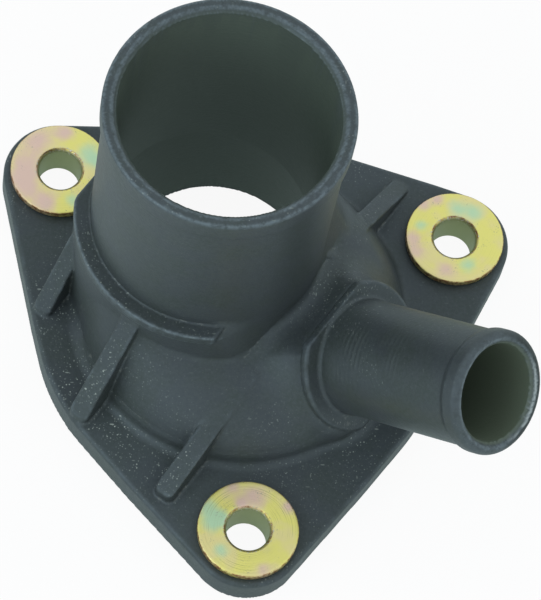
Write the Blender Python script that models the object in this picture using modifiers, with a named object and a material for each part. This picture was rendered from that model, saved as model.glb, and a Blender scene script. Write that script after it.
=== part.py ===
"""Thermostat housing: a moulded three-bolt flange with a large upright hose neck and a small
slanted hose spigot, three flanged steel bushes and a seal ring in the mating face.

Metres, +Z up. The origin lies on the mating face, in the middle of the part's outline box. +Z is
the flange's normal, on the side of the neck. -Y is the side of the front bolt.
"""
import math

import bmesh
import bpy
from mathutils import Matrix, Vector

# Flange plate
PLATE_T = 0.0048            # thickness
PLATE_ROUND = 0.0006        # rounding of its upper edge
EAR_R = 0.0085              # radius of each ear about its bolt
WEB_R = 0.0310              # radius of the plate's middle
WEB_XY = (-0.0025, 0.00622)

# Flanged bushes for M6 bolts
BUSH_BORE_R = 0.0032
BUSH_BODY_R = 0.0048
BUSH_HEAD_R = 0.0075
BUSH_HEAD_T = 0.0013
BUSH_CHAMFER = 0.00045
BUSH_RECESS = 0.0001        # its lower end stands back from the mating face
CLEARANCE = 0.0003          # between touching pieces

# Dome over the chamber
DOME_XY = (-0.0029, 0.00682)
DOME_R = 0.0249             # at the plate
DOME_WALL_H = 0.0042        # steep part of its side
DOME_DRAFT = 0.0008         # the side leans in by this much
DOME_SLOPE = math.radians(34.0)
DOME_SHOULDER_R = 0.0150    # above this the slope eases
DOME_EASE = math.radians(14.0)
DOME_TOP_R = 0.0087
DOME_ROUND = 0.0012

# Large hose neck, upright
NECK_XY = (-0.00927, 0.01342)
NECK_TOP = 0.0570
NECK_R = 0.0175
NECK_BORE_R = 0.0159
NECK_MOUTH_R = 0.01645
NECK_TAPER = 0.0006         # its bore narrows by this much on the way down
BEAD_R = 0.0180
BEAD_L = 0.0042
BEAD_TOP_ROUND = 0.0007
BEAD_STEP = 0.0005

# Clipped hose stop and the body below it
STOP_R = 0.0199
STOP_Z = 0.0235             # upper face
STOP_T = 0.0021
BODY_TOP_R = 0.0194
BODY_FOOT_R = 0.0198
BODY_KNEE_Z = 0.0100        # height where the body's side turns upright
PARTING = math.radians(55.5)   # plan direction of the flats and the ribs
HEAD_ROOM = 0.00134         # between the left flat and the head of the left bush
FLAT_RIGHT = 0.0124         # distance of the right flat from the neck's axis
FLAT_LEAN = 0.55            # the right flat leans out by this much for each unit down

# Small hose spigot, slanted; its axis lies in the upright plane across the parting
SPIGOT_REACH = 0.0509       # from the neck's axis to the mouth's centre, in plan
SPIGOT_TOP = 0.0310         # height of the mouth's centre
SPIGOT_TILT = math.radians(39.0)
SPIGOT_R = 0.0087
SPIGOT_BORE_R = 0.0072
SPIGOT_MOUTH_R = 0.0078
SPIGOT_BEAD_R = 0.0093
SPIGOT_BEAD_L = 0.0026
SPIGOT_STOP_AT = 0.0280     # from the mouth to the hose stop
SPIGOT_STOP_R = 0.0119
SPIGOT_STOP_T = 0.0014
SPIGOT_STOP_FLAT = 0.0093   # half width between its two flats
SPIGOT_BOSS_R = 0.0106
SPIGOT_BOSS_GROW = 0.0016   # the boss widens by this much towards the dome
SPIGOT_BOSS_L = 0.0150

# Ribs: offset from the neck's axis, thickness, plan distance and height of the outer end and of
# the inner end of the upper edge, all along the parting direction
RIB_T = 0.0028
RIB_FOOT = 0.0007           # height of a rib's outer end above the plate
RIBS = {
    "left": (-0.0144, -0.0213, -0.0120, 0.0098),
    "middle": (0.0003, -0.0310, -0.0186, 0.0165),
    "front": (0.0175, -0.0336, -0.0120, 0.0105),
    "right": (0.0170, 0.0312, 0.0080, 0.0150),
}

# Hidden side: recess for the thermostat's flange, chamber and seal groove
RECESS_INSET = 0.0012       # the recess is this much smaller than the dome
RECESS_D = 0.0028
CHAMBER_XY = (-0.0023, 0.00562)
CHAMBER_LEDGE = 0.0042      # seat of the thermostat's flange
CHAMBER_TOP_LEAN = 0.0060   # the chamber narrows by this much at its roof
CHAMBER_WALL_H = 0.0036     # upright part of the chamber's side
CHAMBER_H = 0.0092          # roof of the chamber above the recess
PASSAGE_XY = (-0.0069, 0.01342)
PASSAGE_R = 0.0149
PASSAGE_TOP = 0.0200
GROOVE_LAND = 0.0016        # between the recess and the groove
GROOVE_W = 0.0026
GROOVE_D = 0.0020
SEAL_BACK = 0.0001          # the ring lies just inside the mating face
SEAL_ROUND = 0.0005
RECESS_R = DOME_R - RECESS_INSET
CHAMBER_R = RECESS_R - CHAMBER_LEDGE
GROOVE_IN_R = RECESS_R + GROOVE_LAND
GROOVE_OUT_R = GROOVE_IN_R + GROOVE_W

# Bolts: direction from the dome's axis, and the wall left between the seal groove and the hole
BOLT_PLACES = {"left": (143.18, 0.00204), "right": (23.28, 0.00233), "front": (-86.46, 0.00264)}
BOLTS = {}
for _name, (_angle, _wall) in BOLT_PLACES.items():
    _r = GROOVE_OUT_R + _wall + CLEARANCE + BUSH_BODY_R
    BOLTS[_name] = (DOME_XY[0] + _r * math.cos(math.radians(_angle)),
                    DOME_XY[1] + _r * math.sin(math.radians(_angle)))

TURN_STEPS = 72             # facets of the large turned forms
SMALL_STEPS = 48            # facets of the spigot and the bushes

U = Vector((math.cos(PARTING), math.sin(PARTING), 0.0))
N = Vector((math.sin(PARTING), -math.cos(PARTING), 0.0))
Z = Vector((0.0, 0.0, 1.0))
NECK = Vector((NECK_XY[0], NECK_XY[1], 0.0))
FLAT_LEFT = (NECK - Vector((*BOLTS["left"], 0.0))).dot(N) - BUSH_HEAD_R - HEAD_ROOM
SPIGOT_DIR = (N * math.cos(SPIGOT_TILT) + Z * math.sin(SPIGOT_TILT)).normalized()
SPIGOT_END = NECK + N * SPIGOT_REACH + Z * SPIGOT_TOP


def clear_scene():
    for ob in list(bpy.data.objects):
        bpy.data.objects.remove(ob, do_unlink=True)


def collection(name):
    col = bpy.data.collections.new(name)
    bpy.context.scene.collection.children.link(col)
    return col


def material(name, colour, rough, metal):
    mat = bpy.data.materials.new(name)
    mat.use_nodes = True
    bsdf = mat.node_tree.nodes["Principled BSDF"]
    bsdf.inputs["Base Color"].default_value = (*colour, 1.0)
    bsdf.inputs["Roughness"].default_value = rough
    bsdf.inputs["Metallic"].default_value = metal
    mat.diffuse_color = (*colour, 1.0)
    return mat


def hide_tool(ob):
    ob.display_type = "WIRE"
    ob.hide_render = True
    return ob


def frame(x, y, z, at):
    """Placement with the local axes along x, y and z, and the local origin at the point given."""
    return Matrix(((x.x, y.x, z.x, at.x), (x.y, y.y, z.y, at.y), (x.z, y.z, z.z, at.z), (0, 0, 0, 1)))


def turned(name, profile, col, closed=False, steps=TURN_STEPS):
    """A profile of (radius, height) points, outer side running down, turned about local Z."""
    mesh = bpy.data.meshes.new(name)
    count = len(profile)
    edges = [(i, i + 1) for i in range(count - 1)] + ([(count - 1, 0)] if closed else [])
    mesh.from_pydata([(r, 0.0, h) for r, h in profile], edges, [])
    ob = bpy.data.objects.new(name, mesh)
    col.objects.link(ob)
    screw = ob.modifiers.new("turn", "SCREW")
    screw.axis = "Z"
    screw.angle = 2 * math.pi
    screw.steps = steps
    screw.render_steps = steps
    screw.use_merge_vertices = True
    screw.merge_threshold = 0.00001
    screw.use_normal_calculate = False
    return ob


def outline(name, points, thickness, col, place):
    """A flat outline in local XY, extruded both ways along local Z by half its thickness."""
    curve = bpy.data.curves.new(name, "CURVE")
    curve.dimensions = "2D"
    curve.fill_mode = "BOTH"
    curve.extrude = thickness / 2
    spline = curve.splines.new("POLY")
    spline.points.add(len(points) - 1)
    for p, (x, y) in zip(spline.points, points):
        p.co = (x, y, 0.0, 1.0)
    spline.use_cyclic_u = True
    tmp = bpy.data.objects.new(name + "_curve", curve)
    col.objects.link(tmp)
    deps = bpy.context.evaluated_depsgraph_get()
    mesh = bpy.data.meshes.new_from_object(tmp.evaluated_get(deps))
    bm = bmesh.new()
    bm.from_mesh(mesh)
    bmesh.ops.remove_doubles(bm, verts=bm.verts, dist=0.000005)
    bmesh.ops.recalc_face_normals(bm, faces=bm.faces)
    bm.to_mesh(mesh)
    bm.free()
    bpy.data.objects.remove(tmp)
    bpy.data.curves.remove(curve)
    mesh.name = name
    ob = bpy.data.objects.new(name, mesh)
    ob.matrix_world = place
    col.objects.link(ob)
    return ob


def boolean(ob, other, operation):
    mod = ob.modifiers.new(operation.lower() + "_" + other.name, "BOOLEAN")
    mod.operation = operation
    mod.solver = "EXACT"
    mod.object = other


def wrap(circles, step=math.radians(7.5)):
    """Outline of a band drawn tight round circles (x, y, radius), with true tangent points."""
    def best(a):
        reach = [x * math.cos(a) + y * math.sin(a) + r for x, y, r in circles]
        return reach.index(max(reach))

    def spot(i, a):
        x, y, r = circles[i]
        return (x + r * math.cos(a), y + r * math.sin(a))

    count = round(2 * math.pi / step)
    angles = [2 * math.pi * k / count for k in range(count)]
    points = []
    for k, a in enumerate(angles):
        here = best(a)
        points.append(spot(here, a))
        lo, hi = a, a + 2 * math.pi / count
        while best(hi) != here:
            left, right = lo, hi
            for _ in range(40):
                mid = (left + right) / 2
                if best(mid) == here:
                    left = mid
                else:
                    right = mid
            after = best(right)
            points += [spot(here, left), spot(after, right)]
            here, lo = after, right
    clean = []
    for p in points:
        if not clean or math.dist(p, clean[-1]) > 0.0002:
            clean.append(p)
    if math.dist(clean[0], clean[-1]) < 0.0002:
        clean.pop()
    return clean


def make_plate(col):
    ears = [(x, y, EAR_R) for x, y in BOLTS.values()]
    points = wrap(ears + [(*WEB_XY, WEB_R)])
    ob = outline("housing", points, PLATE_T, col, Matrix())
    bm = bmesh.new()
    bm.from_mesh(ob.data)
    bmesh.ops.translate(bm, verts=bm.verts, vec=(0, 0, PLATE_T / 2))
    rim = [e for e in bm.edges if all(v.co.z > PLATE_T * 0.99 for v in e.verts)
           and any(abs(f.normal.z) < 0.1 for f in e.link_faces)]
    bmesh.ops.bevel(bm, geom=rim, offset=PLATE_ROUND, segments=2, profile=0.5, affect="EDGES")
    bm.to_mesh(ob.data)
    bm.free()
    return ob


def dome_height(radius):
    """Height of the dome's slope at a distance from its axis."""
    knee_r = DOME_R - DOME_DRAFT
    lower = max(radius, DOME_SHOULDER_R)
    eased = max(DOME_SHOULDER_R - radius, 0.0)
    rise = (knee_r - lower) * math.tan(DOME_SLOPE) + eased * math.tan(DOME_EASE)
    return PLATE_T + DOME_WALL_H + rise


def make_dome(tools):
    knee_r = DOME_R - DOME_DRAFT
    knee = PLATE_T + DOME_WALL_H
    ease = DOME_ROUND * 1.2
    profile = [(0.0, dome_height(DOME_TOP_R)), (DOME_TOP_R, dome_height(DOME_TOP_R)),
               (DOME_SHOULDER_R - ease, dome_height(DOME_SHOULDER_R - ease)),
               (DOME_SHOULDER_R + ease, dome_height(DOME_SHOULDER_R + ease)),
               (knee_r - DOME_ROUND, dome_height(knee_r - DOME_ROUND)),
               (knee_r - DOME_ROUND * 0.25, knee - DOME_ROUND * 0.15),
               (knee_r + DOME_DRAFT * DOME_ROUND / DOME_WALL_H, knee - DOME_ROUND),
               (DOME_R, PLATE_T * 0.45), (0.0, PLATE_T * 0.45)]
    ob = hide_tool(turned("dome", profile, tools))
    ob.location = (*DOME_XY, 0.0)
    return ob


def make_body(tools):
    """The neck's body with its hose stop, cut to two flats that run along the parting direction."""
    under = STOP_Z - STOP_T
    profile = [(0.0, STOP_Z), (STOP_R - 0.0002, STOP_Z), (STOP_R, STOP_Z - 0.0002), (STOP_R, under),
               (BODY_TOP_R, under - 0.0001), (BODY_FOOT_R, BODY_KNEE_Z), (BODY_FOOT_R, PLATE_T * 0.6),
               (0.0, PLATE_T * 0.6)]
    ob = hide_tool(turned("body", profile, tools))
    ob.location = NECK
    top, low = STOP_Z + 0.001, 0.001
    lean = under - low
    section = [(-FLAT_LEFT, low), (FLAT_RIGHT + lean * FLAT_LEAN, low), (FLAT_RIGHT, under),
               (FLAT_RIGHT, top), (-FLAT_LEFT, top)]
    clip = hide_tool(outline("body_flats", section, BODY_FOOT_R * 3, tools, frame(N, Z, -U, NECK)))
    boolean(ob, clip, "INTERSECT")
    return ob


def make_neck(tools):
    low = PLATE_T * 1.5
    bead_end = NECK_TOP - BEAD_L
    profile = [(0.0, NECK_TOP), (BEAD_R - BEAD_TOP_ROUND, NECK_TOP),
               (BEAD_R - BEAD_TOP_ROUND * 0.3, NECK_TOP - BEAD_TOP_ROUND * 0.3),
               (BEAD_R, NECK_TOP - BEAD_TOP_ROUND),
               (BEAD_R, bead_end), (NECK_R, bead_end - BEAD_STEP), (NECK_R, low), (0.0, low)]
    ob = hide_tool(turned("neck", profile, tools))
    ob.location = NECK
    ob.rotation_euler.z = math.pi / TURN_STEPS
    return ob


def rib(name, tools):
    offset, outer, inner, rise = RIBS[name]
    foot = PLATE_T + RIB_FOOT
    section = [(outer, PLATE_T * 0.75), (outer, foot), (inner, PLATE_T + rise), (inner, PLATE_T * 0.75)]
    return hide_tool(outline("rib_" + name, section, RIB_T, tools, frame(U, Z, N, NECK + N * offset)))


def spigot_place():
    across = U.cross(SPIGOT_DIR).normalized()
    return frame(U, SPIGOT_DIR.cross(U).normalized(), SPIGOT_DIR, SPIGOT_END), across


def make_spigot(tools):
    place, _ = spigot_place()
    back = -(SPIGOT_STOP_AT + SPIGOT_STOP_T + SPIGOT_BOSS_L * 0.6)
    profile = [(0.0, 0.0), (SPIGOT_BEAD_R - 0.0007, 0.0), (SPIGOT_BEAD_R - 0.0002, -0.0003),
               (SPIGOT_BEAD_R, -0.0009), (SPIGOT_BEAD_R, -SPIGOT_BEAD_L + 0.0004),
               (SPIGOT_R, -SPIGOT_BEAD_L - 0.0003),
               (SPIGOT_R, back), (0.0, back)]
    tube = hide_tool(turned("spigot", profile, tools, steps=SMALL_STEPS))
    tube.matrix_world = place @ Matrix.Rotation(math.pi / SMALL_STEPS, 4, "Z")
    stop = -SPIGOT_STOP_AT
    face = stop - SPIGOT_STOP_T
    end = face - SPIGOT_BOSS_L
    profile = [(0.0, stop), (SPIGOT_STOP_R, stop), (SPIGOT_STOP_R, face), (SPIGOT_BOSS_R, face - 0.0001),
               (SPIGOT_BOSS_R + SPIGOT_BOSS_GROW, end), (0.0, end)]
    boss = hide_tool(turned("spigot_boss", profile, tools, steps=SMALL_STEPS))
    boss.matrix_world = place
    start, low = stop + 0.001, PLATE_T * 0.55
    run, lift = math.cos(SPIGOT_TILT), math.sin(SPIGOT_TILT)

    def beside(t, side):
        return (SPIGOT_REACH + t * run - side * lift, SPIGOT_TOP + t * lift + side * run)

    under = beside(start, -SPIGOT_STOP_FLAT)
    foot = under[0] - (under[1] - low) * run / lift
    roof = beside(end - 0.001, SPIGOT_STOP_FLAT)
    section = [under, beside(start, SPIGOT_STOP_FLAT), roof, (roof[0], low), (foot, low)]
    clip = hide_tool(outline("spigot_flats", section, SPIGOT_STOP_R * 3, tools, frame(N, Z, -U, NECK)))
    boolean(boss, clip, "INTERSECT")
    return tube, boss


def make_cutters(tools):
    place, _ = spigot_place()
    over = 0.002
    cut = []
    low = RECESS_D * 0.9
    profile = [(0.0, NECK_TOP + over), (NECK_MOUTH_R, NECK_TOP + over),
               (NECK_MOUTH_R, NECK_TOP - 0.0003), (NECK_BORE_R, NECK_TOP - 0.0016),
               (NECK_BORE_R - NECK_TAPER, PASSAGE_TOP), (PASSAGE_R, low), (0.0, low)]
    passage = turned("neck_bore", profile, tools)
    passage.location = NECK
    lean_passage(passage, low)
    cut.append(passage)
    chamber_top = RECESS_D + CHAMBER_H
    profile = [(0.0, chamber_top), (CHAMBER_R - CHAMBER_TOP_LEAN, chamber_top),
               (CHAMBER_R - 0.0004, RECESS_D + CHAMBER_WALL_H), (CHAMBER_R, low), (0.0, low)]
    chamber = turned("chamber", profile, tools)
    chamber.location = (*CHAMBER_XY, 0.0)
    cut.append(chamber)
    profile = [(0.0, RECESS_D), (RECESS_R, RECESS_D), (RECESS_R, -over), (0.0, -over)]
    recess = turned("recess", profile, tools)
    recess.location = (*DOME_XY, 0.0)
    cut.append(recess)
    profile = [(GROOVE_IN_R, GROOVE_D), (GROOVE_OUT_R, GROOVE_D), (GROOVE_OUT_R, -over),
               (GROOVE_IN_R, -over)]
    groove = turned("groove", profile, tools, closed=True)
    groove.location = (*DOME_XY, 0.0)
    groove.rotation_euler.z = math.pi / TURN_STEPS
    cut.append(groove)
    reach = (SPIGOT_TOP - RECESS_D - 0.0035) / math.sin(SPIGOT_TILT)
    profile = [(0.0, over), (SPIGOT_MOUTH_R, over), (SPIGOT_MOUTH_R, -0.0004),
               (SPIGOT_BORE_R, -0.0012), (SPIGOT_BORE_R, -reach), (0.0, -reach)]
    bore = turned("spigot_bore", profile, tools, steps=SMALL_STEPS)
    bore.matrix_world = place
    cut.append(bore)
    r = BUSH_BODY_R + CLEARANCE
    for name, (x, y) in BOLTS.items():
        profile = [(0.0, PLATE_T + over), (r, PLATE_T + over), (r, -over), (0.0, -over)]
        hole = turned("hole_" + name, profile, tools, steps=SMALL_STEPS)
        hole.location = (x, y, 0.0)
        hole.rotation_euler.z = math.pi / SMALL_STEPS
        cut.append(hole)
    for ob in cut:
        hide_tool(ob)
    return cut


def lean_passage(ob, low):
    """Makes the neck's bore a mesh and leans its lower part from the neck's axis to the passage's."""
    deps = bpy.context.evaluated_depsgraph_get()
    mesh = bpy.data.meshes.new_from_object(ob.evaluated_get(deps))
    shift = Vector((PASSAGE_XY[0] - NECK_XY[0], PASSAGE_XY[1] - NECK_XY[1], 0.0))
    for v in mesh.vertices:
        v.co += shift * max(0.0, PASSAGE_TOP - v.co.z) / (PASSAGE_TOP - low)
    ob.modifiers.clear()
    ob.data = mesh


def make_housing(parts, tools, mat):
    housing = make_plate(parts)
    neck, body, dome = make_neck(tools), make_body(tools), make_dome(tools)
    tube, boss = make_spigot(tools)
    for ob in [dome, body, neck] + [rib(name, tools) for name in RIBS] + [boss, tube]:
        boolean(housing, ob, "UNION")
    for ob in make_cutters(tools):
        boolean(housing, ob, "DIFFERENCE")
    housing.data.materials.append(mat)
    return housing


def make_bush(name, x, y, parts, mat):
    low = BUSH_RECESS
    seat = PLATE_T + CLEARANCE
    top = seat + BUSH_HEAD_T
    c, b = BUSH_CHAMFER, BUSH_BORE_R
    profile = [(b + c, top), (BUSH_HEAD_R - 0.0002, top), (BUSH_HEAD_R, top - 0.0002),
               (BUSH_HEAD_R, seat), (BUSH_BODY_R, seat), (BUSH_BODY_R, low + 0.0003),
               (BUSH_BODY_R - 0.0003, low), (b + 0.0002, low), (b, low + 0.0002), (b, top - c)]
    ob = turned(name, profile, parts, closed=True, steps=SMALL_STEPS)
    ob.location = (x, y, 0.0)
    ob.data.materials.append(mat)
    return ob


def make_seal(parts, mat):
    inner, outer = GROOVE_IN_R + CLEARANCE, GROOVE_OUT_R - CLEARANCE
    low, top = SEAL_BACK, GROOVE_D - CLEARANCE
    r = SEAL_ROUND
    profile = [(inner + r, top), (outer - r, top), (outer, top - r), (outer, low + r),
               (outer - r, low), (inner + r, low), (inner, low + r), (inner, top - r)]
    ob = turned("seal_ring", profile, parts, closed=True)
    ob.location = (*DOME_XY, 0.0)
    ob.data.materials.append(mat)
    return ob


def main():
    clear_scene()
    parts = collection("thermostat_housing")
    tools = collection("construction")
    nylon = material("glass_filled_nylon", (0.050, 0.062, 0.070), 0.45, 0.0)
    zinc = material("yellow_zinc_steel", (0.62, 0.56, 0.30), 0.32, 0.9)
    rubber = material("black_rubber", (0.02, 0.02, 0.02), 0.7, 0.0)
    make_housing(parts, tools, nylon)
    for name, (x, y) in BOLTS.items():
        make_bush("bush_" + name, x, y, parts, zinc)
    make_seal(parts, rubber)
    bpy.context.view_layer.update()


main()
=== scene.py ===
import math

import bpy
import numpy as np
from mathutils import Matrix


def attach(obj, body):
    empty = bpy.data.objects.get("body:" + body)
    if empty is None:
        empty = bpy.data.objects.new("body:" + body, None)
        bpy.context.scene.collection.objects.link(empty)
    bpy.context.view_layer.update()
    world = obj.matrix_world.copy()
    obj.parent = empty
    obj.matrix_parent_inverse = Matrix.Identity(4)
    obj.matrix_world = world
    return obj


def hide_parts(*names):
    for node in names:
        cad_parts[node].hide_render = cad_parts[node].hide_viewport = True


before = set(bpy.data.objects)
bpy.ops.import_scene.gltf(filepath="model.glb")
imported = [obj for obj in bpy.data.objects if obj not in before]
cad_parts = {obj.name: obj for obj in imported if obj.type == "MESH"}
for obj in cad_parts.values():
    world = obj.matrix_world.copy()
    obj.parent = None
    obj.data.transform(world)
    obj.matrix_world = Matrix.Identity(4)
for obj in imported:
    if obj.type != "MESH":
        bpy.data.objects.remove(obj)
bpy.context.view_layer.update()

scene = bpy.context.scene
scene.view_settings.view_transform = "Standard"


# Camera: a long lens above the front edge, looking down on the flange at about 65 degrees, as the
# photograph does. Its place and turn are those at which the three bolts, the neck's mouth and the
# spigot's mouth fall where the picture shows them in a frame of 541 by 600.
camera = bpy.data.objects.new("camera", bpy.data.cameras.new("camera"))
scene.collection.objects.link(camera)
camera.data.sensor_fit = "HORIZONTAL"
camera.data.sensor_width = 36.0
camera.data.lens = 4000.0 / 541.0 * 36.0
camera.data.clip_start = 0.02
camera.data.clip_end = 10.0
right = np.array((0.99452557, 0.0250981, 0.10143456))
down = np.array((0.06503402, -0.90847544, -0.41284737))
ahead = np.array((0.08178913, 0.41718396, -0.90513429))
turn = np.eye(4)
turn[:3, 0], turn[:3, 1], turn[:3, 2] = right, -down, -ahead
turn[:3, 3] = (-0.047573, -0.242690, 0.550959)
camera.matrix_world = Matrix(turn.tolist())
scene.camera = camera


# Floor and light: a plain white sweep with the part lying on it, a broad soft lamp from the front
# left, and an even pale surround that fills the shadows.
def add(tree, kind, props=(), inputs=()):
    """A node of the kind given, with its settings, its values, and its links."""
    node = tree.nodes.new(kind)
    for key, value in dict(props).items():
        setattr(node, key, value)
    for key, value in dict(inputs).items():
        if isinstance(value, bpy.types.NodeSocket):
            tree.links.new(value, node.inputs[key])
        else:
            node.inputs[key].default_value = value
    return node


floor_mesh = bpy.data.meshes.new("floor")
reach = 3.0
floor_mesh.from_pydata([(-reach, -reach, -0.0001), (reach, -reach, -0.0001), (reach, reach, -0.0001),
                        (-reach, reach, -0.0001)], [], [(0, 1, 2, 3)])
floor = bpy.data.objects.new("floor", floor_mesh)
scene.collection.objects.link(floor)
paper = bpy.data.materials.new("white_paper")
paper.use_nodes = True
tree = paper.node_tree
tree.nodes.clear()
path = add(tree, "ShaderNodeLightPath")
seen = add(tree, "ShaderNodeMath", {"operation": "MAXIMUM"}, {0: path.outputs["Is Camera Ray"],
                                                             1: path.outputs["Is Transmission Ray"]})
plain = add(tree, "ShaderNodeMath", {"operation": "MULTIPLY"}, {0: seen.outputs[0], 1: 0.93})
shine = add(tree, "ShaderNodeMath", {"operation": "MULTIPLY"},
            {0: path.outputs["Is Glossy Ray"], 1: 0.45})
share = add(tree, "ShaderNodeMath", {"operation": "MAXIMUM"}, {0: plain.outputs[0], 1: shine.outputs[0]})
matt = add(tree, "ShaderNodeBsdfDiffuse", (), {"Color": (0.86, 0.86, 0.86, 1)})
cool = add(tree, "ShaderNodeMix", {"data_type": "RGBA"},
           {0: path.outputs["Is Glossy Ray"], 6: (1, 1, 1, 1), 7: (0.74, 0.95, 0.90, 1)})
glow = add(tree, "ShaderNodeEmission", (), {"Color": cool.outputs[2], "Strength": 1.0})
mix = add(tree, "ShaderNodeMixShader", (), {0: share.outputs[0], 1: matt.outputs[0], 2: glow.outputs[0]})
add(tree, "ShaderNodeOutputMaterial", (), {"Surface": mix.outputs[0]})
floor_mesh.materials.append(paper)

world = bpy.data.worlds.new("surround")
world.use_nodes = True
scene.world = world
tree = world.node_tree
tree.nodes.clear()
path = add(tree, "ShaderNodeLightPath")
soft = add(tree, "ShaderNodeBackground", (), {"Color": (0.88, 0.965, 1.0, 1), "Strength": 0.88})
plain = add(tree, "ShaderNodeBackground", (), {"Color": (1, 1, 1, 1), "Strength": 1.0})
mix = add(tree, "ShaderNodeMixShader", (), {0: path.outputs["Is Camera Ray"], 1: soft.outputs[0],
                                            2: plain.outputs[0]})
add(tree, "ShaderNodeOutputWorld", (), {"Surface": mix.outputs[0]})

lamp = bpy.data.objects.new("soft_box", bpy.data.lights.new("soft_box", "AREA"))
lamp.data.shape = "DISK"
lamp.data.size = 0.55
lamp.data.energy = 1.4
lamp.data.color = (0.74, 0.91, 1.0)
scene.collection.objects.link(lamp)
lamp.location = (-0.62, -0.42, 0.50)
away = np.array(lamp.location) / np.linalg.norm(np.array(lamp.location))
lamp.rotation_euler = (math.acos(away[2]), 0.0, math.atan2(away[1], away[0]) + math.pi / 2)


# Housing: one piece of black glass-filled nylon, injection moulded: a three-eared plate, a dome
# over the chamber, the upright hose neck with its bead and clipped hose stop, four ribs and the
# slanted spigot. Every edge has the tool's small radius and every inner corner a fillet, so its
# skin isn't a profile carried along a path: it is where a sum of rounded forms is zero.
# Sizes are in millimetres, in the part's frame. A rib is given as (offset of its middle from the
# neck's axis, half its thickness, outer end, inner end, height at each). SETTLED gives places
# (x, y, spread, amount) where dust lies; the table after it gives places in the same form where a
# pale film lies and a painted sheen lightens the upward faces.
PLATE = 4.8                               # thickness
BOLTS = {"left": (-30.950, 27.820), "right": (29.554, 20.783), "front": (-0.699, -28.752)}
BOLT_HOLE_R = 5.1
EAR_R = 8.5
WEB = (-2.5, 6.22, 31.0)                  # centre and radius of the plate's middle
DOME_AT = (-2.9, 6.82)
DOME_SIDE = ((24.9, 4.8), (24.1, 9.0))    # (radius, height) at the foot and the knee of its side
NECK_AT = (-9.27, 13.42)
NECK_TOP = 57.0
NECK_R, NECK_BORE_R = 17.5, 15.9
BEAD_R, BEAD_FOOT = 18.05, 53.2
BODY_R, BODY_TOP = 19.4, 21.4             # the upright part under the hose stop
STOP_R, STOP_MIDDLE = 19.9, 22.45         # the neck's hose stop, and its height
LEFT_CLIP, RIGHT_CLIP = 17.2, 12.4        # its flats, across from the neck's axis
FLAT = math.radians(55.5)                 # direction of the flats and ribs, from +X
TILT = math.radians(39.0)                 # the spigot's rise from the mating face
SPIGOT_REACH, SPIGOT_TOP = 50.9, 31.0     # its mouth's centre, from the neck's axis and in height
SPIGOT_R, SPIGOT_BEAD, SPIGOT_BORE_R = 8.70, 0.50, 7.2
RIBS = ((-14.3, 1.35, -20.9, -12.0, 5.0, 17.6), (0.35, 1.45, -31.2, -18.6, 5.6, 21.3),
        (17.8, 1.48, -33.5, -12.0, 7.0, 14.7), (16.0, 1.38, 31.2, 9.0, 5.0, 16.2))
SETTLED = ((-30.0, 6.0, 4.5, 0.7), (-25.5, -6.5, 4.5, 1.0), (-22.0, -12.0, 4.0, 0.9),
           (-13.5, -19.5, 3.5, 0.8), (4.0, -21.0, 5.0, 0.35), (15.0, -13.0, 4.0, 0.6),
           (12.0, 4.0, 5.0, 0.6), (-22.0, 2.5, 3.5, 0.6))
FILM_AND_SHEEN = ((-19.0, -17.0, 6.0, 1.0), (-9.0, -26.0, 5.0, 0.9), (11.0, 30.0, 7.0, 0.9),
        (17.0, -13.0, 6.0, 0.7), (13.0, 2.0, 4.0, 0.7))


def corner(a, b, radius):
    """Overlap of two forms: the larger distance, its outer corner rounded by a quarter circle."""
    arc = np.hypot(np.maximum(a + radius, 0), np.maximum(b + radius, 0))
    return np.minimum(-radius, np.maximum(a, b)) + arc


def fillet(a, b, radius):
    """Sum of two forms: the smaller distance, its inner corner filled by a quarter circle."""
    return -corner(-a, -b, radius)


def slope(r, z, foot, angle):
    """Distance from a straight flank through foot = (r, z) that leans in by the angle from upright."""
    return (r - foot[0]) * math.cos(angle) + (z - foot[1]) * math.sin(angle)


def plate_outline(x, y):
    """Distance from a band drawn tight round the three ears and the plate's middle: the largest, over
    all directions, of how far a point lies past the farthest circle in that direction."""
    circles = [(bx, by, EAR_R) for bx, by in BOLTS.values()] + [WEB]
    out = None
    for angle in np.radians(np.arange(0.0, 360.0, 1.5)):
        c, s = math.cos(angle), math.sin(angle)
        past = x * c + y * s - max(cx * c + cy * s + cr for cx, cy, cr in circles)
        out = past if out is None else np.maximum(out, past)
    return out


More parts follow.
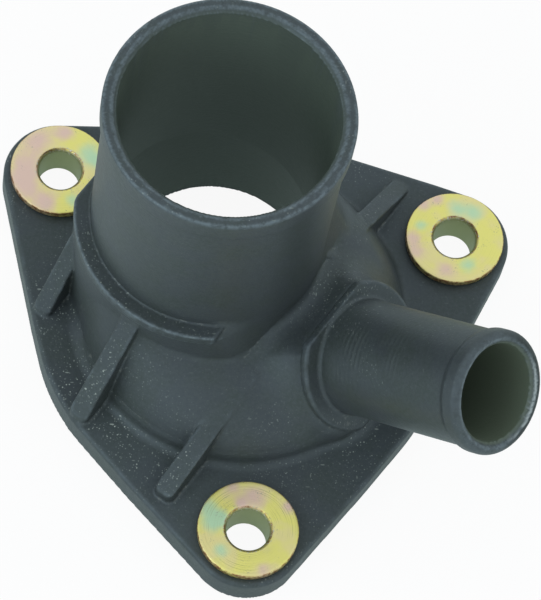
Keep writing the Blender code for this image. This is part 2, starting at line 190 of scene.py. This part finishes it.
def housing_field(x, y, z):
    """Distance of the moulding, less than zero inside its wall. Plate, dome, body, ribs, neck, stops
    and spigot are summed with fillets. Bore, chamber, recess, groove and bolt holes are then cut
    away with rounded edges. u and v run along and across the flats from the neck's axis, t along
    the spigot from its mouth, w across it, and rd, rn, rs, rc are distances from the axes."""
    rd = np.hypot(x - DOME_AT[0], y - DOME_AT[1])
    xn, yn = x - NECK_AT[0], y - NECK_AT[1]
    rn = np.hypot(xn, yn)
    u = xn * math.cos(FLAT) + yn * math.sin(FLAT)
    v = xn * math.sin(FLAT) - yn * math.cos(FLAT)
    t = (v - SPIGOT_REACH) * math.cos(TILT) + (z - SPIGOT_TOP) * math.sin(TILT)
    w = (z - SPIGOT_TOP) * math.cos(TILT) - (v - SPIGOT_REACH) * math.sin(TILT)
    rs = np.hypot(u, w)

    plate = corner(plate_outline(x, y), z - PLATE, 0.7)

    side = math.atan2(DOME_SIDE[0][0] - DOME_SIDE[1][0], DOME_SIDE[1][1] - DOME_SIDE[0][1])
    inset = np.maximum(DOME_SIDE[1][0] - rd, 0.0)
    gap = inset + np.maximum(rn - (BODY_R - 0.1), 0.0) + 0.01
    rise = 8.3 - 2.5 * v / np.maximum(rn, 5.0)
    roof = DOME_SIDE[1][1] + rise * (1.0 - (1.0 - inset / gap) ** 1.4)
    roof = (z - roof) / np.hypot(1.0, 9.0 / (gap + 1.0))
    dome = corner(slope(rd, z, DOME_SIDE[0], side), roof, 2.4)

    facing = np.clip((v - 2.0) / 9.0, 0.0, 1.0) * np.clip(u / 6.0, 0.0, 1.0)
    facing = facing ** 2 * (3 - 2 * facing)
    body = (rn - BODY_R - (0.035 + 0.30 * facing) * (BODY_TOP - z)) / 1.04
    left = -v - LEFT_CLIP
    right_flat = ((v - RIGHT_CLIP) + 0.55 * (z - BODY_TOP)) / math.hypot(1.0, 0.55)
    body = corner(corner(np.maximum(body, z - 22.0), left, 0.6), right_flat, 0.8)

    stop = corner(rn - STOP_R, np.abs(z - STOP_MIDDLE) - 1.05, 0.35)
    stop = corner(corner(stop, left, 0.4), v - RIGHT_CLIP, 0.4)

    tube = np.maximum(rn - NECK_R, 5.0 - z)
    bead = corner(rn - BEAD_R, BEAD_FOOT - z, 0.45)
    neck = fillet(tube, bead, 0.6)

    ribs = None
    for offset, half, outer, inner, low, high in RIBS:
        lean = math.atan2(high - low, abs(inner - outer))
        way = math.copysign(1.0, inner - outer)
        top = (z - low) * math.cos(lean) - (u - outer) * way * math.sin(lean)
        rib = corner(np.abs(v - offset) - half - 0.01 * np.maximum(high - z, 0.0), (outer - u) * way, 1.0)
        rib = corner(rib, top, 0.35)
        rib = corner(rib, (u - inner) * way, 0.8)
        ribs = rib if ribs is None else np.minimum(ribs, rib)

    swell = np.clip((t + 3.7) / 1.3, 0.0, 1.0)
    pipe = np.maximum(rs - SPIGOT_R - SPIGOT_BEAD * swell ** 2 * (3 - 2 * swell), -40.0 - t)
    ring = corner(rs - 11.4, np.abs(t + 28.7) - 0.7, 0.5)
    ring = corner(ring, np.abs(w) - 9.35, 0.3)
    boss = corner(slope(rs, -t, (11.2, 29.4), math.radians(-5.0)), t + 29.3, 0.3)
    boss = corner(boss, np.abs(w) - 9.0, 1.2)
    boss = np.maximum(boss, -46.0 - t)

    form = fillet(plate, dome, 1.2)
    form = fillet(form, boss, 4.0)
    form = fillet(form, body, 0.8)
    form = fillet(form, ribs, 0.45)
    form = fillet(form, neck, 0.6 + 2.8 * np.clip((v - 7.0) / 5.0, 0.0, 1.0))
    form = fillet(form, stop, 0.25)
    form = fillet(form, ring, 0.25)
    form = fillet(form, pipe, 0.6)

    depth = np.clip(20.0 - z, 0.0, 17.5) / 17.5
    bore_r = NECK_BORE_R - 0.6 * np.clip(NECK_TOP - z, 0.0, 37.0) / 37.0 - 0.4 * depth
    bore = np.hypot(xn - 2.37 * depth, yn) - bore_r
    bore = np.minimum(bore, slope(rn, -z, (16.5, -NECK_TOP), math.radians(40.0)))
    bore = np.maximum(bore, 2.0 - z)
    rc = np.hypot(x + 2.3, y - 5.62)
    chamber = corner(corner(rc - 19.5, slope(rc, z, (19.1, 6.4), math.radians(45.0)), 0.6), z - 12.0, 1.0)
    recess = corner(rd - 23.7, z - 2.8, 0.3)
    groove = corner(np.abs(rd - 26.6) - 1.3, z - 2.0, 0.2)
    drill = np.maximum(rs - SPIGOT_BORE_R, -39.2 - t)
    drill = np.minimum(drill, slope(rs, -t, (7.9, 0.0), math.radians(40.0)))
    hollow = fillet(fillet(bore, chamber, 0.5), recess, 0.2)
    hollow = fillet(hollow, drill, 0.6)
    form = np.where(rn < 19.0, corner(form, z - NECK_TOP, 0.5), form)
    form = np.where(rs < 9.9, corner(form, t, 1.15), form)
    form = corner(form, -hollow, 0.25)
    form = corner(form, -groove, 0.15)
    for bx, by in BOLTS.values():
        form = corner(form, BOLT_HOLE_R - np.hypot(x - bx, y - by), 0.2)
    return corner(form, -z, 0.2)


def skin(values, axes):
    """Closed skin where a sampled field is zero: one point in each cell that the skin crosses, at the
    mean of its edges' crossings, and one face round each crossed edge, its four cells in order."""
    inside = values < 0
    shape = np.array(values.shape) - 1
    total = np.zeros((3, shape.prod()))
    count = np.zeros(shape.prod())
    rings = []
    for axis in range(3):
        first, last = [slice(None)] * 3, [slice(None)] * 3
        first[axis], last[axis] = slice(0, -1), slice(1, None)
        first, last = tuple(first), tuple(last)
        index = np.argwhere(inside[first] != inside[last])
        a = values[first][tuple(index.T)]
        b = values[last][tuple(index.T)]
        at = [axes[k][index[:, k]].astype(float) for k in range(3)]
        step = axes[axis][index[:, axis] + 1] - axes[axis][index[:, axis]]
        at[axis] = at[axis] + step * a / (a - b)
        p, q = (axis + 1) % 3, (axis + 2) % 3
        cells = []
        for dp, dq in ((1, 1), (0, 1), (0, 0), (1, 0)):
            cell = index.copy()
            cell[:, p] -= dp
            cell[:, q] -= dq
            cells.append(np.ravel_multi_index(tuple(cell.T), tuple(shape)))
        cells = np.stack(cells, 1)
        for k in range(4):
            count += np.bincount(cells[:, k], minlength=count.size)
            for c in range(3):
                total[c] += np.bincount(cells[:, k], weights=at[c], minlength=count.size)
        rings.append(np.where((a > 0)[:, None], cells[:, ::-1], cells))
    used = np.flatnonzero(count)
    number = np.full(count.size, -1)
    number[used] = np.arange(used.size)
    return (total[:, used] / count[used]).T, number[np.concatenate(rings)]


def gradient(field, points, h=0.03):
    """Slope of a field at points, from the difference across a small step each way."""
    out = np.empty_like(points)
    for k in range(3):
        step = np.zeros(3)
        step[k] = h
        out[:, k] = (field(*(points + step).T) - field(*(points - step).T)) / (2 * h)
    return out


fine = 0.34
axes = [np.arange(-39.5, 38.3, fine), np.arange(-35.6, 58.5, fine),
        np.concatenate([np.arange(-0.8, 39.6, fine), np.arange(39.9, 51.2, 1.1),
                        np.arange(51.5, 58.0, fine)])]
flat_axes = [axes[0].astype(np.float32), axes[1].astype(np.float32)]
along, across = np.meshgrid(*flat_axes, indexing="ij")
gx = (NECK_AT[0] + along * math.cos(FLAT) + across * math.sin(FLAT))[:, :, None]
gy = (NECK_AT[1] + along * math.sin(FLAT) - across * math.cos(FLAT))[:, :, None]
layers = [housing_field(gx, gy, part[None, None, :].astype(np.float32))
          for part in np.array_split(axes[2], 12)]
points, faces = skin(np.concatenate(layers, 2), axes)
points = np.stack([NECK_AT[0] + points[:, 0] * math.cos(FLAT) + points[:, 1] * math.sin(FLAT),
                   NECK_AT[1] + points[:, 0] * math.sin(FLAT) - points[:, 1] * math.cos(FLAT),
                   points[:, 2]], 1)
faces = faces[:, ::-1]
for _ in range(3):
    g = gradient(housing_field, points)
    off = housing_field(*points.T)
    move = off / np.maximum((g ** 2).sum(1), 0.25)
    points = points - g * np.clip(move, -0.15, 0.15)[:, None]

mesh = bpy.data.meshes.new("moulded_housing")
mesh.from_pydata((points * 0.001).tolist(), [], faces.tolist())
housing = bpy.data.objects.new("moulded_housing", mesh)
scene.collection.objects.link(housing)
thin = housing.modifiers.new("thin_out_flats", "DECIMATE")
thin.ratio = min(1.0, 186000.0 / (2 * len(faces)))
mesh = bpy.data.meshes.new_from_object(housing.evaluated_get(bpy.context.evaluated_depsgraph_get()))
housing.modifiers.clear()
housing.data = mesh
mesh.name = "moulded_housing"
points = np.empty(len(mesh.vertices) * 3, dtype=np.float32)
mesh.vertices.foreach_get("co", points)
points = points.reshape(-1, 3).astype(float) * 1000.0
normals = gradient(housing_field, points, 0.06)
normals /= np.maximum(np.linalg.norm(normals, axis=1), 1e-6)[:, None]
mesh.polygons.foreach_set("use_smooth", np.ones(len(mesh.polygons), dtype=bool))
mesh.normals_split_custom_set_from_vertices(normals.tolist())
h = 0.16
bend = sum(housing_field(*(points + s * h * np.eye(3)[k]).T) for k in range(3) for s in (-1, 1))
bend = (bend - 6 * housing_field(*points.T)) / h ** 2
x, y, z = points.T
rn = np.hypot(x - NECK_AT[0], y - NECK_AT[1])
v = (x - NECK_AT[0]) * math.sin(FLAT) - (y - NECK_AT[1]) * math.cos(FLAT)
t = (v - SPIGOT_REACH) * math.cos(TILT) + (z - SPIGOT_TOP) * math.sin(TILT)
w = (z - SPIGOT_TOP) * math.cos(TILT) - (v - SPIGOT_REACH) * math.sin(TILT)
u = (x - NECK_AT[0]) * math.cos(FLAT) + (y - NECK_AT[1]) * math.sin(FLAT)
rs = np.hypot(u, w)
# Masks for painted light: inside the neck and the spigot's bore the colour is lifted lighter, more so
# lower in the neck, standing in for light bounced into the bores.
neck_inside = ((rn < 16.8) & (z > 3.2)) * np.clip((57.0 - z) / 1.2, 0, 1)
spigot_inside = ((rs < 7.6) & (v > 17.0)) * np.clip(-t / 0.9, 0, 1)
# Rims of both mouths and the hose stop's outer edge, where scuffs and a painted highlight lighten the
# colour.
rim = np.maximum(np.clip((z - 55.9) / 0.7, 0, 1),
                 ((rs < 9.6) & (v > 30.0)) * np.clip((t + 1.0) / 0.8, 0, 1))
rim = np.maximum(rim, np.clip((rn - 19.6) / 0.2, 0, 1) * (np.abs(z - 22.4) < 1.3) * (v < 13.0))
ring = (rs < 9.2) * (rs > 8.2) * (v > 20)
ring = ring * np.clip((t + 26.0) / 2.0, 0, 1) * np.clip((-12.0 - t) / 2.0, 0, 1)
ring = ring * np.clip(((-0.55 * u + 0.84 * w) / rs - 0.84) / 0.1, 0, 1)
# Painted shade on the right side of the spigot's lip, and a painted glint along its bore's edge at the
# lower right.
shaded = np.clip((0.80 * u - 0.60 * w) / rs * 2.0 - 0.1, 0, 1) * (v > 30.0)
lip = shaded * np.clip((rs - 7.9) / 0.15, 0, 1) * np.clip((t + 1.4) / 0.4, 0, 1)
glint = np.clip(1.3 - np.abs(rs - 7.8) / 0.16, 0, 1) * (t > -1.2) * (v > 30.0)
glint = glint * np.clip((0.55 * u - 0.83 * w) / rs * 3.0 - 1.6, 0, 1)
# Places of settled dust, and places where a pale film and a painted sheen lighten the colour, both kept
# to upward faces.
settled, film_and_sheen = [np.max([amount * np.exp(-((x - px) ** 2 + (y - py) ** 2) / (2 * size ** 2))
                         for px, py, size, amount in places], axis=0)
                 * np.clip(normals[:, 2] * 2.0 - 0.6, 0, 1) * (z < 26.0) for places in (SETTLED, FILM_AND_SHEEN)]
marks = {"edge": np.clip((bend - 0.45) / 2.2, 0, 1), "crease": np.clip((-bend - 0.35) / 2.0, 0, 1),
         "up": np.clip(normals[:, 2] * 1.6 - 0.5, 0, 1), "inside": neck_inside,
         "depth": np.clip((40.0 - z) / 30.0, 0, 1), "spigot_inside": spigot_inside, "rim": rim,
         "ring": ring, "station": t, "lip": lip, "glint": glint, "settled": settled, "film_and_sheen": film_and_sheen}
for name, amount in marks.items():
    layer = mesh.attributes.new(name, "FLOAT", "POINT")
    layer.data.foreach_set("value", amount.astype(np.float32))

nylon = bpy.data.materials.new("glass_filled_nylon")
nylon.use_nodes = True
tree = nylon.node_tree
bsdf = tree.nodes["Principled BSDF"]
coords = add(tree, "ShaderNodeTexCoord").outputs["Object"]


def blend(fac, a, b, kind="MIX"):
    """A colour between a and b."""
    node = add(tree, "ShaderNodeMix", {"data_type": "RGBA", "blend_type": kind})
    for socket, value in ((node.inputs[0], fac), (node.inputs[6], a), (node.inputs[7], b)):
        if isinstance(value, bpy.types.NodeSocket):
            tree.links.new(value, socket)
        else:
            socket.default_value = value
    return node.outputs[2]


def sums(kind, a, b=0.0, c=0.0):
    """One step of arithmetic on numbers."""
    return add(tree, "ShaderNodeMath", {"operation": kind}, {0: a, 1: b, 2: c}).outputs[0]


def noise(scale, detail=2.0, rough=0.5, vector=None):
    """Cloudy noise at so many lumps a metre."""
    inputs = {"Vector": vector or coords, "Scale": scale, "Detail": detail, "Roughness": rough}
    return add(tree, "ShaderNodeTexNoise", (), inputs).outputs[0]


def between(value, low, high):
    """0 below low, 1 above high, smooth between."""
    node = add(tree, "ShaderNodeMapRange", {"interpolation_type": "SMOOTHSTEP"},
               {0: value, 1: low, 2: high, 3: 0.0, 4: 1.0})
    return node.outputs[0]


def specks(scale, size, share, stretch):
    """Scattered specks: cells of a random pattern, a few of them kept, each drawn as a small spot."""
    put = add(tree, "ShaderNodeMapping", (),
              {"Vector": coords, "Rotation": stretch[0], "Scale": stretch[1]})
    cell = add(tree, "ShaderNodeTexVoronoi", (), {"Vector": put.outputs[0], "Scale": scale})
    pick = add(tree, "ShaderNodeSeparateColor", (), {0: cell.outputs["Color"]})
    spot = between(cell.outputs["Distance"], size, size * 0.4)
    keep = sums("LESS_THAN", pick.outputs[0], share)
    return sums("MULTIPLY", sums("MULTIPLY", spot, keep), sums("MULTIPLY_ADD", pick.outputs[1], 0.7, 0.3))


def value(name):
    """An attribute of the mesh as a number."""
    return add(tree, "ShaderNodeAttribute", {"attribute_name": name}).outputs["Fac"]


edge, crease, up, rim = value("edge"), value("crease"), value("up"), value("rim")
tone = blend(between(noise(150.0, 3.0, 0.6), 0.38, 0.62),
             (0.036, 0.045, 0.040, 1), (0.040, 0.047, 0.052, 1))
tone = blend(between(noise(1900.0, 3.0, 0.7), 0.3, 0.75), tone, (0.050, 0.059, 0.060, 1))
# A pale film and a painted sheen: upward faces at the listed places are lightened toward the lit
# blue-grey.
tone = blend(sums("MULTIPLY", value("film_and_sheen"), 0.20), tone, (0.110, 0.135, 0.150, 1))
# Painted light: the inner walls of the neck and the spigot's bore are coloured lighter, the neck more so
# lower down, standing in for light bounced into the bores.
tone = blend(value("inside"), tone, (0.096, 0.120, 0.094, 1))
tone = blend(sums("MULTIPLY", value("inside"), value("depth")), tone, (0.120, 0.150, 0.114, 1))
tone = blend(value("spigot_inside"), tone, (0.125, 0.152, 0.108, 1))
# Convex edges lightened: partly rubbed wear, partly a painted highlight where light catches the rounded
# edges.
worn_and_highlit_edges = sums("MULTIPLY", edge, between(noise(420.0, 3.0, 0.65), 0.42, 0.68))
tone = blend(sums("MULTIPLY", worn_and_highlit_edges, 0.40), tone, (0.12, 0.15, 0.17, 1))
# Rims and the hose stop's edge lightened on their convex parts: partly scuffs, partly a painted highlight
# on the edges.
scuffed_and_highlit_rims = sums("MULTIPLY", rim, between(noise(1100.0, 4.0, 0.7), 0.30, 0.60))
scuffed_and_highlit_rims = sums("MULTIPLY", scuffed_and_highlit_rims, sums("MULTIPLY_ADD", edge, 0.68, 0.05))
tone = blend(scuffed_and_highlit_rims, tone, (0.15, 0.185, 0.205, 1))
# Painted shade darkens the right side of the spigot's lip; a painted glint lights its bore's edge.
tone = blend(value("lip"), tone, (0.016, 0.019, 0.016, 1))
glint = sums("MULTIPLY", value("glint"), between(noise(400.0, 3.0, 0.6), 0.30, 0.55))
tone = blend(glint, tone, (0.40, 0.44, 0.43, 1))
lines = sums("SINE", sums("MULTIPLY", value("station"), 7.2))
ring = sums("MULTIPLY", value("ring"), between(noise(180.0), 0.36, 0.60))
tone = blend(sums("MULTIPLY", ring, between(lines, -0.4, 0.9)), tone, (0.060, 0.071, 0.069, 1))
dusty = sums("MULTIPLY", between(crease, 0.45, 0.9), between(noise(900.0, 3.0, 0.7), 0.50, 0.68))
tone = blend(sums("MULTIPLY", dusty, 0.45), tone, (0.17, 0.18, 0.165, 1))
patchy = sums("MULTIPLY_ADD", between(noise(70.0, 2.0, 0.6), 0.46, 0.62), 0.26, 0.06)
patchy = sums("MULTIPLY", patchy, sums("MULTIPLY_ADD", up, 0.8, 0.2))
patchy = sums("MAXIMUM", patchy, value("settled"))
dust = sums("MAXIMUM", specks(1900.0, 0.26, 0.40, ((0, 0, 0), (1, 1, 1))),
            specks(1300.0, 0.18, 0.24, ((0.3, 0.5, 0.9), (1, 0.3, 1))))
dust = sums("MAXIMUM", dust, specks(1250.0, 0.17, 0.24, ((0.9, 0.1, 2.2), (0.3, 1, 1))))
tone = blend(sums("MULTIPLY", dust, patchy), tone, (0.62, 0.67, 0.60, 1))
fine_dust = sums("MULTIPLY", specks(2600.0, 0.34, 0.5, ((0.5, 0.2, 0.4), (1, 1, 1))), patchy)
tone = blend(sums("MULTIPLY", fine_dust, 0.7), tone, (0.40, 0.44, 0.40, 1))
tree.links.new(tone, bsdf.inputs["Base Color"])
rough = sums("MULTIPLY_ADD", noise(1400.0, 3.0, 0.6), 0.16, 0.40)
tree.links.new(rough, bsdf.inputs["Roughness"])
bsdf.inputs["Specular IOR Level"].default_value = 0.5
bsdf.inputs["Specular Tint"].default_value = (0.80, 0.92, 1.0, 1)
bsdf.inputs["IOR"].default_value = 1.53
squeeze = add(tree, "ShaderNodeMapping", (), {"Vector": coords, "Scale": (0.12, 0.12, 1.0)}).outputs[0]
relief = sums("ADD", noise(2600.0, 3.0, 0.6), sums("MULTIPLY", noise(3600.0, 2.0, 0.6, squeeze), 0.9))
relief = sums("ADD", relief, sums("MULTIPLY", sums("MULTIPLY", ring, lines), 0.5))
bump = add(tree, "ShaderNodeBump", (), {"Strength": 0.45, "Distance": 0.00008, "Height": relief})
tree.links.new(bump.outputs[0], bsdf.inputs["Normal"])
mesh.materials.clear()
mesh.materials.append(nylon)
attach(housing, "root")
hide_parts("housing")


# Bolt bushes: three turned steel bushes with a flat head, moulded into the ears so that the bolts
# clamp metal to metal. Yellow chromate over zinc gives them their straw colour with pink and green
# bloom, and the lathe leaves fine rings on the head. BLOOM gives each bush's pink and green
# places as (x, y, spread) from its axis, and how plainly its turning rings show.
BUSH_PROFILE = ((3.64, 6.40), (3.9, 6.40), (4.3, 6.40), (4.7, 6.40), (5.1, 6.40), (5.5, 6.40),
                (5.9, 6.40), (6.3, 6.40), (6.7, 6.40), (7.0, 6.40), (7.28, 6.40), (7.42, 6.36),
                (7.49, 6.26), (7.50, 6.10), (7.50, 5.32), (7.42, 5.14), (7.2, 5.10), (5.1, 5.10),
                (4.85, 5.05), (4.80, 4.9), (4.80, 2.5), (4.80, 0.4), (4.55, 0.12), (4.3, 0.10),
                (3.5, 0.10), (3.25, 0.18), (3.20, 0.35), (3.20, 3.0), (3.20, 5.84), (3.22, 5.94),
                (3.58, 6.36))
BLOOM = {
    "left": {"pink": ((-5.6, 0.3, 2.0), (-5.2, -3.1, 1.8), (-2.1, -5.6, 1.4), (-3.6, 4.6, 1.6),
                      (0.3, 6.3, 1.2)),
             "green": ((4.2, 3.1, 1.3), (2.1, -5.2, 0.9), (5.6, 1.6, 1.0)), "turning": 0.15},
    "right": {"pink": ((-6.6, -0.4, 1.0), (-5.9, -2.8, 1.0), (-4.9, 5.2, 0.9), (-1.4, -5.6, 1.1),
                       (-2.8, 6.3, 0.8)),
              "green": ((0.35, 4.9, 1.1), (3.1, 4.4, 1.1), (-5.2, 1.7, 0.7), (1.9, -4.5, 1.0)),
              "turning": 0.15},
    "front": {"pink": ((-2.6, 6.3, 0.9), (0.9, 5.1, 1.3), (-1.2, 3.9, 0.7), (2.4, -6.4, 0.9),
                       (5.9, 3.9, 0.7)),
              "green": ((-5.4, 0.7, 1.2), (-6.1, 3.1, 1.1), (-4.0, 1.4, 0.9), (-4.0, -3.5, 0.9)),
              "turning": 1.0},
}


def turned(name, profile, at, steps):
    """A ring: the closed profile of (radius, height) carried round an upright axis at the place given,
    so that each point is (x + r cos a, y + r sin a, z). Radius and height are kept as attributes."""
    r, z = np.array(profile).T
    a = np.arange(steps) * 2 * math.pi / steps
    x = at[0] + np.outer(np.cos(a), r)
    y = at[1] + np.outer(np.sin(a), r)
    co = np.stack([x, y, np.broadcast_to(z, x.shape)], 2).reshape(-1, 3) * 0.001
    i, j = np.meshgrid(np.arange(steps), np.arange(len(r)), indexing="ij")
    i2, j2 = (i + 1) % steps, (j + 1) % len(r)
    n = len(r)
    quads = np.stack([i * n + j, i * n + j2, i2 * n + j2, i2 * n + j], 2).reshape(-1, 4)
    mesh = bpy.data.meshes.new(name)
    mesh.from_pydata(co.tolist(), [], quads.tolist())
    mesh.polygons.foreach_set("use_smooth", np.ones(len(quads), dtype=bool))
    for key, value in (("radius", r), ("height", z)):
        layer = mesh.attributes.new(key, "FLOAT", "POINT")
        layer.data.foreach_set("value", np.tile(value, steps).astype(np.float32))
    ob = bpy.data.objects.new(name, mesh)
    scene.collection.objects.link(ob)
    return ob


zinc = bpy.data.materials.new("yellow_zinc_steel")
zinc.use_nodes = True
tree = zinc.node_tree
bsdf = tree.nodes["Principled BSDF"]
coords = add(tree, "ShaderNodeTexCoord").outputs["Object"]
radius = add(tree, "ShaderNodeAttribute", {"attribute_name": "radius"}).outputs["Fac"]
height = add(tree, "ShaderNodeAttribute", {"attribute_name": "height"}).outputs["Fac"]
turning = add(tree, "ShaderNodeAttribute", {"attribute_name": "turning"}).outputs["Fac"]
wander = sums("MULTIPLY_ADD", noise(300.0, 4.0, 0.6), 1.1, -0.55)
pink = add(tree, "ShaderNodeAttribute", {"attribute_name": "pink"}).outputs["Fac"]
green = add(tree, "ShaderNodeAttribute", {"attribute_name": "green"}).outputs["Fac"]
colour = blend(between(noise(260.0, 2.0, 0.5), 0.40, 0.62), (0.91, 0.82, 0.24, 1), (0.90, 0.77, 0.34, 1))
colour = blend(between(sums("ADD", pink, wander), 0.0, 1.15), colour, (0.84, 0.59, 0.49, 1))
colour = blend(between(sums("ADD", green, wander), 0.05, 1.3), colour, (0.56, 0.77, 0.50, 1))
rings = add(tree, "ShaderNodeTexNoise", {"noise_dimensions": "1D"},
            {"W": radius, "Scale": 4.2, "Detail": 3.0, "Roughness": 0.75}).outputs[0]
groove = sums("MULTIPLY", turning, between(noise(210.0), 0.42, 0.60))
groove = sums("MULTIPLY", between(rings, 0.56, 0.68), groove)
colour = blend(sums("MULTIPLY", groove, 0.65), colour, (0.30, 0.31, 0.08, 1))
spots = sums("MULTIPLY", between(noise(3800.0, 2.0, 0.7), 0.60, 0.68),
             between(noise(330.0, 2.0), 0.50, 0.66))
colour = blend(sums("MULTIPLY", spots, 0.7), colour, (0.30, 0.29, 0.22, 1))
lip = sums("MAXIMUM", between(radius, 7.34, 7.46), between(radius, 3.72, 3.60))
rusty = sums("MULTIPLY_ADD", between(noise(1500.0, 3.0, 0.7), 0.40, 0.60), 0.75, 0.25)
lip = sums("MULTIPLY", lip, rusty)
colour = blend(lip, colour, (0.30, 0.13, 0.05, 1))
bored = between(radius, 3.52, 3.28)
colour = blend(bored, colour, (0.40, 0.42, 0.22, 1))
grit = sums("MULTIPLY", between(noise(3000.0, 2.0, 0.7), 0.56, 0.64), between(radius, 3.95, 3.70))
colour = blend(sums("MULTIPLY", grit, between(height, 5.3, 5.9)), colour, (0.62, 0.60, 0.48, 1))
tree.links.new(colour, bsdf.inputs["Base Color"])
bsdf.inputs["Metallic"].default_value = 0.72
tree.links.new(sums("MULTIPLY_ADD", rings, 0.25, 0.26), bsdf.inputs["Roughness"])
tall = sums("MULTIPLY", rings, sums("MULTIPLY_ADD", turning, 0.8, 0.2))
bump = add(tree, "ShaderNodeBump", (), {"Strength": 0.5, "Distance": 0.00006, "Height": tall})
tree.links.new(bump.outputs[0], bsdf.inputs["Normal"])
for side, at in BOLTS.items():
    bush = turned("turned_bush_" + side, BUSH_PROFILE, at, 120)
    co = np.empty(len(bush.data.vertices) * 3, dtype=np.float32)
    bush.data.vertices.foreach_get("co", co)
    dx, dy = (co.reshape(-1, 3)[:, :2].astype(float) * 1000.0 - np.array(at)).T
    marks = {key: sum(np.exp(-((dx - px) ** 2 + (dy - py) ** 2) / (2 * size ** 2))
                      for px, py, size in BLOOM[side][key]) for key in ("pink", "green")}
    marks["turning"] = np.full(dx.shape, BLOOM[side]["turning"])
    for key, amount in marks.items():
        layer = bush.data.attributes.new(key, "FLOAT", "POINT")
        layer.data.foreach_set("value", amount.astype(np.float32))
    bush.data.materials.append(zinc)
    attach(bush, "root")
    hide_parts("bush_" + side)


# Seal ring: a moulded black rubber ring of nearly square section, pressed into the groove round the
# recess. Only its lower face shows, on the mating side.
SEAL_PROFILE = ((26.1, 1.70), (26.6, 1.70), (27.1, 1.70), (27.35, 1.62), (27.52, 1.45), (27.60, 1.2),
                (27.60, 0.6), (27.52, 0.35), (27.35, 0.18), (27.1, 0.10), (26.6, 0.10), (26.1, 0.10),
                (25.85, 0.18), (25.68, 0.35), (25.60, 0.6), (25.60, 1.2), (25.68, 1.45), (25.85, 1.62))
rubber = bpy.data.materials.new("black_rubber")
rubber.use_nodes = True
tree = rubber.node_tree
bsdf = tree.nodes["Principled BSDF"]
coords = add(tree, "ShaderNodeTexCoord").outputs["Object"]
colour = blend(noise(300.0, 3.0), (0.016, 0.016, 0.017, 1), (0.034, 0.034, 0.036, 1))
tree.links.new(colour, bsdf.inputs["Base Color"])
tree.links.new(sums("MULTIPLY_ADD", noise(900.0, 2.0), 0.2, 0.5), bsdf.inputs["Roughness"])
seal = turned("pressed_seal", SEAL_PROFILE, DOME_AT, 180)
seal.data.materials.append(rubber)
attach(seal, "root")
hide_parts("seal_ring")
